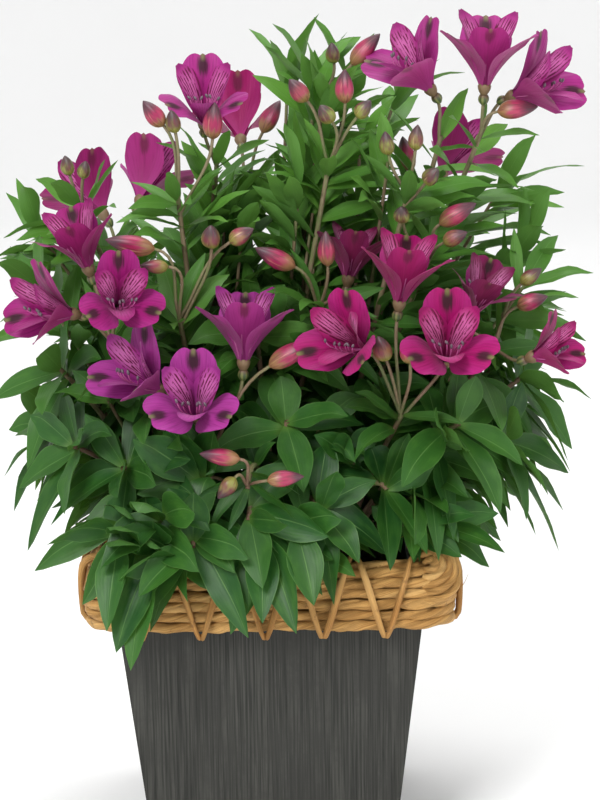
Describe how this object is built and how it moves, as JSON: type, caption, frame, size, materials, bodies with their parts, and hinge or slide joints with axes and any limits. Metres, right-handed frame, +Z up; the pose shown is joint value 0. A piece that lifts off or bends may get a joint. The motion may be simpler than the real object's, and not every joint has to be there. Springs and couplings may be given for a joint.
{
  "type": "potted peruvian lily",
  "caption": "Leafy flowering plant with upright stems, trumpet-shaped lily blooms and buds, growing in a tapered square wooden planter with a thick rope rim.",
  "frame": {"origin": "middle of the planter's underside, on the ground", "axes": "+Z up the plant, -Y out of the planter's front, +X to the right as seen from the front"},
  "size_m": [0.3716, 0.3074, 0.5173],
  "materials": {
    "board": "satin",
    "liner": "matte",
    "soil": "matte",
    "rope": "matte",
    "lashing": "satin",
    "leaf": "satin",
    "petal_lilac": "satin",
    "petal_magenta": "satin"
  },
  "bodies": {
    "root": {"board_front": "board", "board_right": "board", "board_back": "board", "board_left": "board", "floor_board": "board", "liner": "liner", "soil": "soil", "rope_row_1": "rope", "rope_row_2": "rope", "rope_row_3": "rope", "rope_row_4": "rope", "rope_row_5": "rope", "rope_row_6": "rope", "rope_row_7": "rope", "rope_row_8": "rope", "rope_inner_band": "rope", "lashing": "lashing", "clump_front_left": "leaf", "clump_front": "leaf", "clump_front_right": "leaf", "clump_left": "leaf", "clump_middle_left": "leaf", "clump_middle": "leaf", "clump_middle_right": "leaf", "clump_right": "leaf", "clump_back_left": "leaf", "clump_back": "leaf", "clump_back_right": "leaf", "bloom_1_2_1": "petal_lilac", "bloom_1_2_2": "petal_lilac", "bloom_1_2_3": "petal_lilac", "bloom_3_1_1": "petal_magenta", "bloom_3_1_2": "petal_magenta", "bloom_3_1_3": "petal_magenta", "bloom_4_1_1": "petal_magenta", "bloom_4_1_2": "petal_magenta", "bloom_4_1_3": "petal_magenta", "bloom_6_1_1": "petal_magenta", "bloom_8_1_1": "petal_magenta", "bloom_8_1_2": "petal_magenta", "bloom_9_2_1": "petal_lilac", "bloom_9_3_1": "petal_magenta", "bloom_9_3_2": "petal_lilac", "bloom_10_2_1": "petal_magenta", "bloom_11_1_1": "petal_lilac", "bloom_11_1_2": "petal_lilac", "bloom_11_2_1": "petal_lilac", "bloom_11_3_1": "petal_magenta"}
  },
  "joints": []
}
